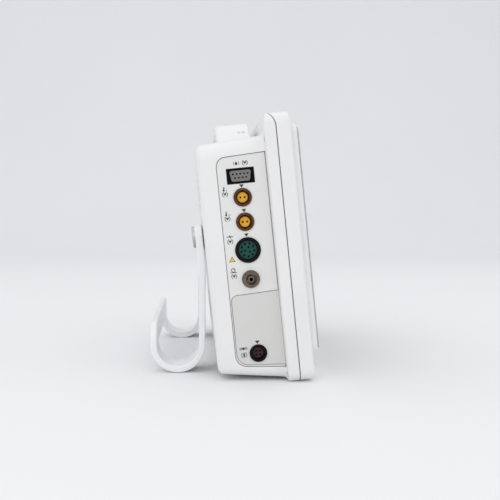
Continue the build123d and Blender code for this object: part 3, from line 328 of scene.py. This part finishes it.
def cover_glass(name):
    """Cover glass: a black printed border round a slightly paler viewing area, and ground edges."""
    surface = Surface(name, coat=1.0)
    surface.shader.inputs["Coat Roughness"].default_value = 0.03
    low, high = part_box("display_glass")
    middle = face_of("display_glass", RIGHT, UP).origin
    half_width = (high.x - low.x) / 2 - BORDER_SIDE
    half_height = (high - low).dot(UP) / 2 - BORDER_TOP
    across = surface.math("ABSOLUTE", surface.along(RIGHT, middle.dot(RIGHT)), 0)
    upward = surface.math("ABSOLUTE", surface.along(UP, middle.dot(UP)), 0)
    inside = surface.math("MULTIPLY", surface.math("LESS_THAN", across, half_width),
                          surface.math("LESS_THAN", upward, half_height))
    area = surface.ramp(surface.noise(60.0), ((0.3, (0.018, 0.021, 0.026)), (0.7, (0.024, 0.027, 0.033))))
    border = surface.ramp(surface.noise(20.0), ((0.3, (0.004, 0.004, 0.005)), (0.7, (0.006, 0.006, 0.007))))
    face = surface.blend(inside, border, area)
    geometry = surface.add("ShaderNodeNewGeometry")
    facing = surface.add("ShaderNodeVectorMath", operation="DOT_PRODUCT")
    facing.inputs[1].default_value = -REAR
    surface.link(geometry.outputs["Normal"], facing.inputs[0])
    ground = surface.math("LESS_THAN", surface.math("ABSOLUTE", facing.outputs["Value"], 0), 0.5)
    edge = surface.ramp(surface.noise(3.0), ((0.3, (0.40, 0.42, 0.45)), (0.7, (0.48, 0.50, 0.53))))
    surface.colour(surface.blend(ground, face, edge))
    surface.rough(surface.spread(surface.noise(45.0, detail=5.0), 0.05, 0.11))
    surface.bump((surface.noise(24.0, detail=1.0), 0.004))
    return surface.material


def ink(name, colour):
    """Pad-printed ink: a thin even film, a little thinner in places."""
    surface = Surface(name)
    cover = surface.noise(0.5, detail=4.0)
    surface.colour(surface.ramp(cover, ((0.2, shade(colour, 1.25)), (0.6, colour))))
    surface.rough(surface.spread(cover, 0.42, 0.55))
    surface.bump((cover, 0.004))
    return surface.material


SLOTS = {
    "housing_plastic": moulded("white_housing", (0.83, 0.825, 0.825), 0.38, tint=0.012),
    "panel_plastic": moulded("white_panel", (0.78, 0.772, 0.765), 0.46, grain=0.6, depth=0.02, tint=0.012),
    "module_plastic": moulded("grey_module", (0.67, 0.67, 0.65), 0.48, grain=0.6, depth=0.02, tint=0.015),
    "screen_glass": cover_glass("bordered_glass"),
    "display": moulded("display_module", (0.03, 0.034, 0.04), 0.3, grain=0.3, coat=0.3),
    "sheet_steel": metal("zinc_sheet", (0.60, 0.61, 0.62), 0.38, stretch=(0.05, 1, 1), stain=0.18),
    "steel_fastener": metal("zinc_fastener", (0.56, 0.57, 0.58), 0.3, grain=0.3),
    "washer_plastic": moulded("natural_nylon", (0.78, 0.77, 0.70), 0.5, grain=0.4),
    "gasket_rubber": rubber("brown_gasket", (0.16, 0.12, 0.10)),
    "key_rubber": rubber("silicone_key", (0.42, 0.44, 0.46), 0.55),
    "lamp_lens": frosted_lens("frosted_lens"),
    "circuit_board": printed_board("circuit_board"),
    "copper_shell": browned_shell("copper_brown_shell"),
    "yellow_insert": insulator("yellow_insulator", (0.98, 0.50, 0.045)),
    "black_shell": moulded("black_plastic", (0.004, 0.004, 0.0045), 0.42, 0.3, 0.006, tint=0.2, gloss=0.12),
    "teal_insert": insulator("teal_insulator", (0.006, 0.072, 0.06)),
    "maroon_insert": insulator("maroon_insulator", (0.05, 0.012, 0.016)),
    "grey_insert": moulded("grey_plastic", (0.185, 0.18, 0.17), 0.45, 0.3, tint=0.05, patch=9.0, gloss=0.35),
    "nickel": metal("bronze_nickel", (0.17, 0.14, 0.115), 0.22, grain=0.3, stain=0.25),
    "brass": metal("knurled_brass", (0.66, 0.47, 0.20), 0.28, stretch=(1, 1, 6), grain=0.4),
    "cast_metal": cast("cast_aluminium", (0.60, 0.61, 0.62)),
    "tubing": rubber("silicone_tube", (0.66, 0.68, 0.69), 0.35),
    "battery": moulded("battery_case", (0.035, 0.035, 0.04), 0.5, grain=0.7, depth=0.03, tint=0.1),
    "hook_paint": powder_coat("white_powder_coat", (0.88, 0.88, 0.89), 0.34),
}
BLACK_INK = ink("black_ink", (0.02, 0.02, 0.022))
YELLOW_INK = ink("yellow_ink", (0.80, 0.55, 0.05))
GREY_INK = ink("grey_ink", (0.36, 0.37, 0.39))
WHITE_INK = ink("white_ink", (0.78, 0.79, 0.80))
GOLD = metal("gold_contact", (0.80, 0.54, 0.20), 0.18, grain=0.2)
# painted shade: gold darkened to stand in for the shadow deep in the socket holes
SHADED_GOLD = metal("shaded_contact", (0.10, 0.07, 0.035), 0.3, grain=0.2)

for subpart in record["subparts"]:
    carried = nodes[subpart["node"]].data
    carried.materials.clear()
    carried.materials.append(SLOTS[subpart["material_slot"]])


# ---------------------------------------------------------------- mesh helpers
def piece(name, mesh, body, material):
    """Makes an object of a bmesh, rides it on its body and gives it its finish."""
    bmesh.ops.recalc_face_normals(mesh, faces=mesh.faces)
    data = bpy.data.meshes.new(name)
    mesh.to_mesh(data)
    mesh.free()
    data.materials.append(material)
    made = bpy.data.objects.new(name, data)
    bpy.context.scene.collection.objects.link(made)
    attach(made, body)
    return made


def arc(centre, radius, start, end, steps=18):
    """Points on an arc, angles in degrees anticlockwise from the right."""
    angles = [math.radians(start + (end - start) * i / steps) for i in range(steps + 1)]
    return [(centre[0] + radius * math.cos(a), centre[1] + radius * math.sin(a)) for a in angles]


INK_LOW, INK_HIGH = 0.01, 0.07


class Print:
    """Marks printed on a face, in millimetres right and up from the face's origin."""

    def __init__(self, face):
        self.face = face
        self.mesh = bmesh.new()

    def shape(self, points):
        """A filled outline as a thin film."""
        low = [self.mesh.verts.new(self.face.at(x, y, INK_LOW)) for x, y in points]
        high = [self.mesh.verts.new(self.face.at(x, y, INK_HIGH)) for x, y in points]
        self.mesh.faces.new(high)
        self.mesh.faces.new(low[::-1])
        for i in range(len(points)):
            j = (i + 1) % len(points)
            self.mesh.faces.new((low[i], low[j], high[j], high[i]))
        return self

    def line(self, points, width):
        """A line of even width through the points, square at its ends."""
        left, right = [], []
        for i, (x, y) in enumerate(points):
            before = Vector(points[max(i - 1, 0)])
            after = Vector(points[min(i + 1, len(points) - 1)])
            along = (after - before).normalized()
            left.append((x - along.y * width / 2, y + along.x * width / 2))
            right.append((x + along.y * width / 2, y - along.x * width / 2))
        return self.shape(left + right[::-1])

    def disc(self, x, y, radius):
        return self.shape(arc((x, y), radius, 0, 360, 24)[:-1])

    def ring(self, x, y, radius, width):
        self.line(arc((x, y), radius, 0, 180, 20), width)
        return self.line(arc((x, y), radius, 180, 360, 20), width)

    def heart(self, x, y, size):
        """A filled heart, size wide."""
        r = size / 4
        left = arc((x - r, y + r * 0.5), r, 170, 10, 10)
        right = arc((x + r, y + r * 0.5), r, 170, 10, 10)
        return self.shape([(x, y - size * 0.48)] + left + right[1:])

    def finish(self, name, body, material):
        return piece(name, self.mesh, body, material)

    def finish_black(self, name):
        """Black ink on the housing, as every mark beside a connector is."""
        return self.finish(name, "housing", BLACK_INK)


def tube(mesh, face, outer, inner, near, far, steps=20):
    """A short tube along the face's normal, with a chamfered mouth; near and far are heights."""
    bevel = (outer - inner) * 0.4
    profile = ((outer, far), (outer, near - bevel), (outer - bevel, near), (inner + bevel, near),
               (inner, near - bevel), (inner, far))
    loops = []
    for radius, out in profile:
        loops.append([mesh.verts.new(face.at(x, y, out)) for x, y in arc((0, 0), radius, 0, 360, steps)[:-1]])
    for first, second in zip(loops, loops[1:] + loops[:1]):
        for i in range(steps):
            j = (i + 1) % steps
            mesh.faces.new((first[i], first[j], second[j], second[i]))


def ring_of(count, radius, start):
    """Points evenly spaced on a circle."""
    return [(radius * math.cos(math.radians(start + 360 * i / count)),
             radius * math.sin(math.radians(start + 360 * i / count))) for i in range(count)]


# ---------------------------------------------------------------- left side: contacts and printed marks
LEFT_RIGHT = -REAR
panel_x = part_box("left_port_panel")[0].x
module_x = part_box("module_faceplate")[0].x


def socket(mount, x):
    """The face of a side panel at a socket's centre."""
    return Face((x, mounts[mount].y, mounts[mount].z), LEFT_RIGHT, UP)


spo2 = face_of("spo2_shell", LEFT_RIGHT, UP)
spo2.origin.x = panel_x
SOCKETS = {
    "spo2": spo2,
    "temperature_1": socket("temperature_1_socket", panel_x),
    "temperature_2": socket("temperature_2_socket", panel_x),
    "ecg": socket("ecg_socket", panel_x),
    "pressure": socket("pressure_port", panel_x),
    "gas": socket("gas_socket", module_x),
}


SLEEVE_CLEARANCE = 0.06
SLEEVE_BORE = 0.55


def contacts(name, insert_node, face, spots, hole_r, near, far):
    """Contact sleeves set back in the holes of an insulator, in gold with painted shade; near and far are
    depths.
    """
    front = Face((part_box(insert_node)[0].x, face.origin.y, face.origin.z), face.right, face.up)
    mesh = bmesh.new()
    for across, up in spots:
        place = front.moved(across, up)
        tube(mesh, place, hole_r - SLEEVE_CLEARANCE, hole_r * SLEEVE_BORE, -near, -far)
    return piece(name, mesh, "housing", SHADED_GOLD)


SHALLOW, DEEP = (1.1, 1.7), (2.6, 4.3)
D_PITCH, D_ROW = 2.77, 1.42
D_SPOTS = [(D_PITCH * (i - 2), D_ROW) for i in range(5)] + [(D_PITCH * (i - 1.5), -D_ROW) for i in range(4)]
contacts("spo2_contacts", "spo2_insert", SOCKETS["spo2"], D_SPOTS, 0.75, *SHALLOW)
ECG_SPOTS = ring_of(9, 4.9, 31) + ring_of(3, 2.1, 73)
contacts("ecg_contacts", "ecg_insert", SOCKETS["ecg"], ECG_SPOTS, 0.82, *DEEP)
for number in (1, 2):
    contacts(f"temperature_{number}_contacts", f"temperature_{number}_insert",
             SOCKETS[f"temperature_{number}"], [(-1.6, 0), (1.6, 0)], 0.8, *DEEP)
contacts("gas_contacts", "gas_insert", SOCKETS["gas"], ring_of(4, 2.1, 45), 0.8, *DEEP)

# a small pointer over each round socket, where its plug's key goes
POINTER = ((-1.75, 1.2), (1.75, 1.2), (0, -1.3))
for name, height in (("temperature_1", 8.5), ("temperature_2", 8.4), ("ecg", 11.3), ("gas", 8.4)):
    marks = Print(SOCKETS[name].moved(0, height))
    marks.shape(POINTER)
    marks.finish_black(f"{name}_pointer")


def paddles(marks):
    """The two curved strokes either side of a patient mark."""
    marks.line(arc((0, 0), 1.95, 112, 248), 0.42)
    marks.line(arc((0, 0), 1.95, 68, -68), 0.42)


def heart_between_paddles(name, face):
    marks = Print(face)
    marks.heart(0, 0.15, 2.4)
    paddles(marks)
    marks.finish_black(name)


for name, across, up in (("spo2", 4.2, 9.3), ("temperature_1", -12.9, 3.3), ("temperature_2", -12.9, 3.3),
                         ("ecg", -12.6, 7.4), ("pressure", -12.3, 3.3)):
    heart_between_paddles(f"{name}_heart_mark", SOCKETS[name].moved(across, up))

marks = Print(SOCKETS["gas"].moved(-10.9, -0.3))
marks.disc(0, 1.25, 0.5)
marks.shape([(-0.75, 0.6), (0.75, 0.6), (0.55, -0.6), (0.35, -1.7), (-0.35, -1.7), (-0.55, -0.6)])
paddles(marks)
marks.finish_black("gas_figure_mark")

# what each socket measures, as a pictogram
marks = Print(SOCKETS["spo2"].moved(-2.4, 9.5))
marks.shape([(0, 1.5)] + arc((0, -0.45), 0.95, 150, 390, 16))
marks.line([(1.9, -1.2), (1.9, 1.2)], 0.35)
marks.line([(-1.9, -1.2), (-1.9, 1.2)], 0.35)
marks.finish_black("spo2_drop_mark")

for number in (1, 2):
    marks = Print(SOCKETS[f"temperature_{number}"].moved(-12.7, 7.3))
    marks.disc(-0.9, -1.0, 0.75)
    marks.line([(-0.9, -1.0), (-0.9, 1.6)], 0.55)
    for tick in range(3):
        marks.line([(-0.35, 1.4 - 0.6 * tick), (0.25, 1.4 - 0.6 * tick)], 0.22)
    for dot in range(number):
        marks.disc(1.1 + 0.95 * dot, -1.1, 0.34)
    marks.finish_black(f"temperature_{number}_gauge_mark")

marks = Print(SOCKETS["ecg"].moved(-12.7, 11.1))
PULSE = [(-2.6, 0), (-1.3, 0), (-0.9, 0.5), (-0.5, 0), (-0.2, -0.4), (0.2, 1.5), (0.6, -1.1), (0.9, 0),
         (1.5, 0.45), (1.9, 0), (2.6, 0)]
for start, end in zip(PULSE, PULSE[1:]):
    marks.line([start, end], 0.42)
marks.finish_black("ecg_pulse_mark")

marks = Print(SOCKETS["pressure"].moved(-12.5, 7.9))
marks.ring(0, 0.1, 1.4, 0.44)
marks.line([(0, 0.1), (0.8, 0.9)], 0.42)
marks.line([(-2.5, -1.75), (2.5, -1.75)], 0.45)
marks.finish_black("pressure_gauge_mark")

marks = Print(SOCKETS["gas"].moved(-11.0, 4.6))
marks.disc(0, 0, 1.0)
marks.ring(-2.05, 0, 0.72, 0.42)
marks.ring(2.05, 0, 0.72, 0.42)
marks.finish_black("gas_molecule_mark")

notice = SOCKETS["ecg"].moved(-12.5, -5.8)
marks = Print(notice)
marks.shape([(-2.4, -2.0), (2.4, -2.0), (0, 2.15)])
marks.finish_black("notice_mark_border")
marks = Print(notice.moved(0, 0, 0.04))
marks.shape([(-1.75, -1.62), (1.75, -1.62), (0, 1.42)])
marks.finish("notice_mark_field", "housing", YELLOW_INK)


# ---------------------------------------------------------------- handle marks
HANDLE_SLOPE = math.atan2(16, 20)
slope_up = (RIGHT * math.cos(HANDLE_SLOPE) + UP * math.sin(HANDLE_SLOPE)).normalized()
HANDLE_END_PLACE = (-82.4, 22.5, 195.68)
handle_end = Face(housing(*HANDLE_END_PLACE), LEFT_RIGHT, slope_up)
marks = Print(handle_end)
marks.ring(2.2, 0, 1.25, 0.3)
marks.line([(2.2, -0.7), (2.2, 0.7)], 0.3)
marks.ring(-1.6, 0.2, 1.05, 0.3)
marks.line([(-1.6, -0.9), (-1.6, -1.9)], 0.3)
marks.finish("handle_end_marks", "housing", GREY_INK)


# ---------------------------------------------------------------- keys and lamps on the front
KEY_NAMES = ("power", "alarm_pause", "alarm_reset", "pressure_start", "freeze", "record", "menu")


def bell(marks, x):
    marks.shape([(x - 1.5, -1.1), (x + 1.5, -1.1), (x + 1.05, -0.5)] + arc((x, 0.4), 1.0, 0, 180, 12)
                + [(x - 1.05, -0.5)])
    marks.disc(x, -1.55, 0.38)


for name in KEY_NAMES:
    marks = Print(face_of(f"{name}_key", RIGHT, UP))
    if name == "power":
        marks.line(arc((0, 0), 1.7, 125, 415, 28), 0.4)
        marks.line([(0, 0.3), (0, 2.1)], 0.4)
    elif name == "alarm_pause":
        bell(marks, -1.2)
        marks.line([(1.5, -1.2), (1.5, 1.2)], 0.5)
        marks.line([(2.5, -1.2), (2.5, 1.2)], 0.5)
    elif name == "alarm_reset":
        bell(marks, -1.2)
        marks.line(arc((2.2, 0), 1.1, 60, 330, 20), 0.4)
        marks.shape([(2.5, 1.5), (3.5, 1.0), (2.6, 0.4)])
    elif name == "pressure_start":
        marks.ring(-1.4, 0, 1.5, 0.4)
        marks.line([(-1.4, 0), (-0.6, 0.8)], 0.4)
        marks.shape([(1.2, 1.2), (1.2, -1.2), (3.1, 0)])
    elif name == "freeze":
        for turn in range(3):
            angle = math.radians(60 * turn + 30)
            tip = (1.9 * math.cos(angle), 1.9 * math.sin(angle))
            marks.line([(-tip[0], -tip[1]), tip], 0.38)
    elif name == "record":
        for start, end in (((-1.5, -1.9), (-1.5, 1.9)), ((1.5, -1.9), (1.5, 1.9)),
                           ((-1.7, 1.9), (1.7, 1.9)), ((-1.7, -1.9), (1.7, -1.9)),
                           ((-0.9, 0.7), (0.9, 0.7)), ((-0.9, -0.5), (0.9, -0.5))):
            marks.line([start, end], 0.38)
    else:
        for row in (-1.3, 0, 1.3):
            marks.line([(-2, row), (2, row)], 0.5)
    marks.finish(f"{name}_key_mark", f"{name}_key_body", WHITE_INK)


# ---------------------------------------------------------------- right side: contacts
inlet = face_of("mains_inlet", REAR, UP)
network = face_of("network_socket", REAR, UP)
data_ports = face_of("usb_sockets", REAR, UP)


def rounded_block(mesh, face, half_width, half_height, corner, levels):
    """A block with rounded corners along the face's normal, through (height, size factor) levels."""
    outline = []
    for sx, sy, start in ((1, 1, 0), (-1, 1, 90), (-1, -1, 180), (1, -1, 270)):
        centre = (sx * (half_width - corner), sy * (half_height - corner))
        outline += arc(centre, corner, start, start + 90, 5)
    loops = []
    for out, factor in levels:
        loops.append([mesh.verts.new(face.at(x * factor, y * factor, out)) for x, y in outline])
    for first, second in zip(loops, loops[1:]):
        for i in range(len(outline)):
            j = (i + 1) % len(outline)
            mesh.faces.new((first[i], first[j], second[j], second[i]))
    mesh.faces.new(loops[0][::-1])
    mesh.faces.new(loops[-1])


def sleeve(mesh, face, half_width, half_height, near, far):
    """A contact blade or strip with a tapered tip."""
    corner = min(half_width, half_height) * 0.5
    levels = ((far, 1.0), (near - 0.5, 1.0), (near, 0.7))
    rounded_block(mesh, face, half_width, half_height, corner, levels)


MAINS_PINS = ((0, 3.2), (-7, -1.2), (7, -1.2))
mesh = bmesh.new()
for across, up in MAINS_PINS:
    sleeve(mesh, inlet.moved(across, up), 1.12, 2.12, -2.9, -16.0)
piece("mains_pin_sleeves", mesh, "housing", SLOTS["nickel"])

mesh = bmesh.new()
for port in (4.5, -4.5):
    for across in (-3.5, -1.0, 1.0, 3.5):
        sleeve(mesh, data_ports.moved(across, port + 0.28), 0.5, 0.1, -2.4, -10.0)
piece("usb_contacts", mesh, "housing", GOLD)

mesh = bmesh.new()
for i in range(8):
    sleeve(mesh, network.moved(i - 3.5, -4.3), 0.17, 0.16, -4.2, -9.0)
piece("network_contacts", mesh, "housing", GOLD)


# ---------------------------------------------------------------- rating plate on the back
PLATE_WIDE, PLATE_TALL, PLATE_CORNER = 58.0, 26.0, 2.0
plate = Face(housing(0, 61.0, 52), -RIGHT, UP)
mesh = bmesh.new()
plate_levels = ((0.02, 1.0), (0.12, 1.0), (0.2, 0.996))
rounded_block(mesh, plate, PLATE_WIDE / 2, PLATE_TALL / 2, PLATE_CORNER, plate_levels)
piece("rating_plate", mesh, "housing", SLOTS["sheet_steel"])
RULE_X, RULE_Y = 26.5, 10.8
marks = Print(plate.moved(0, 0, 0.18))
for side in (-1, 1):
    marks.line([(-RULE_X, side * RULE_Y), (RULE_X, side * RULE_Y)], 0.4)
    marks.line([(side * RULE_X, 0.2 - RULE_Y), (side * RULE_X, RULE_Y - 0.2)], 0.4)
for row in (4.5, -1.5, -7.0):
    marks.line([(-23, row - 2.5), (23, row - 2.5)], 0.2)
marks.finish("rating_plate_rules", "housing", GREY_INK)


# ---------------------------------------------------------------- studio
def studio_material(name, colour):
    surface = Surface(name)
    tones = ((0.3, shade(colour, 0.99)), (0.7, shade(colour, 1.01)))
    surface.colour(surface.ramp(surface.noise(700.0), tones))
    surface.rough(surface.spread(surface.noise(60.0), 0.85, 0.92))
    return surface.material


def sweep_profile():
    """The floor runs back flat, then curves up into the wall."""
    flat_end, bend, top = 1.6, 1.2, 3.4
    points = [(-4.0, 0.0), (-1.0, 0.0), (0.0, 0.0), (flat_end, 0.0)]
    points += [(flat_end + bend * math.sin(math.radians(a)), bend - bend * math.cos(math.radians(a)))
               for a in range(6, 91, 6)]
    return points + [(flat_end + bend, top)]


mesh = bmesh.new()
rows = [[mesh.verts.new((x, y, z)) for y in (-4.5, -1.5, 1.5, 4.5)] for x, z in sweep_profile()]
for first, second in zip(rows, rows[1:]):
    for i in range(3):
        mesh.faces.new((first[i], second[i], second[i + 1], first[i + 1]))
data = bpy.data.meshes.new("studio_sweep")
mesh.to_mesh(data)
mesh.free()
data.materials.append(studio_material("pale_paper", (0.86, 0.862, 0.87)))
data.polygons.foreach_set("use_smooth", [True] * len(data.polygons))
sweep = bpy.data.objects.new("studio_sweep", data)
bpy.context.scene.collection.objects.link(sweep)


def softbox(name, place, target, wide, tall, watts, colour=(1, 1, 1)):
    lamp = bpy.data.lights.new(name, "AREA")
    lamp.shape = "RECTANGLE"
    lamp.size = wide
    lamp.size_y = tall
    lamp.energy = watts
    lamp.color = colour
    holder = bpy.data.objects.new(name, lamp)
    holder.location = place
    holder.rotation_euler = (Vector(target) - Vector(place)).to_track_quat("-Z", "Y").to_euler()
    bpy.context.scene.collection.objects.link(holder)


softbox("overhead_softbox", (-0.1, 0.0, 1.9), (0, 0, 0), 2.6, 2.6, 8.5, (1.0, 0.995, 0.985))
softbox("left_softbox", (-1.7, 0.9, 1.1), (0, 0, 0.1), 1.6, 1.4, 6.5)
softbox("front_softbox", (-0.6, -1.8, 0.9), (0, 0, 0.1), 1.6, 1.2, 3)

world = bpy.data.worlds.new("studio_air")
world.use_nodes = True
air = world.node_tree.nodes["Background"]
air.inputs["Color"].default_value = (0.97, 0.985, 1.0, 1)
air.inputs["Strength"].default_value = 0.81
bpy.context.scene.world = world
bpy.context.scene.view_settings.view_transform = "Standard"

# ---------------------------------------------------------------- camera
YAW, PITCH, ROLL = math.radians(4.41), math.radians(2.62), math.radians(0.37)
forward = Vector((math.cos(PITCH) * math.cos(YAW), -math.cos(PITCH) * math.sin(YAW), -math.sin(PITCH)))
level_right = forward.cross(Vector((0, 0, 1))).normalized()
level_up = level_right.cross(forward)
camera_right = level_right * math.cos(ROLL) + level_up * math.sin(ROLL)
camera_up = level_up * math.cos(ROLL) - level_right * math.sin(ROLL)
lens = bpy.data.cameras.new("camera")
lens.sensor_width = 36.0
lens.lens = 50.26
lens.clip_start = 0.01
camera = bpy.data.objects.new("camera", lens)
turn = Matrix((camera_right, camera_up, -forward)).transposed().to_4x4()
camera.matrix_world = Matrix.Translation((-0.6497, 0.0291, 0.1236)) @ turn
bpy.context.scene.collection.objects.link(camera)
bpy.context.scene.camera = camera

bpy.context.view_layer.update()
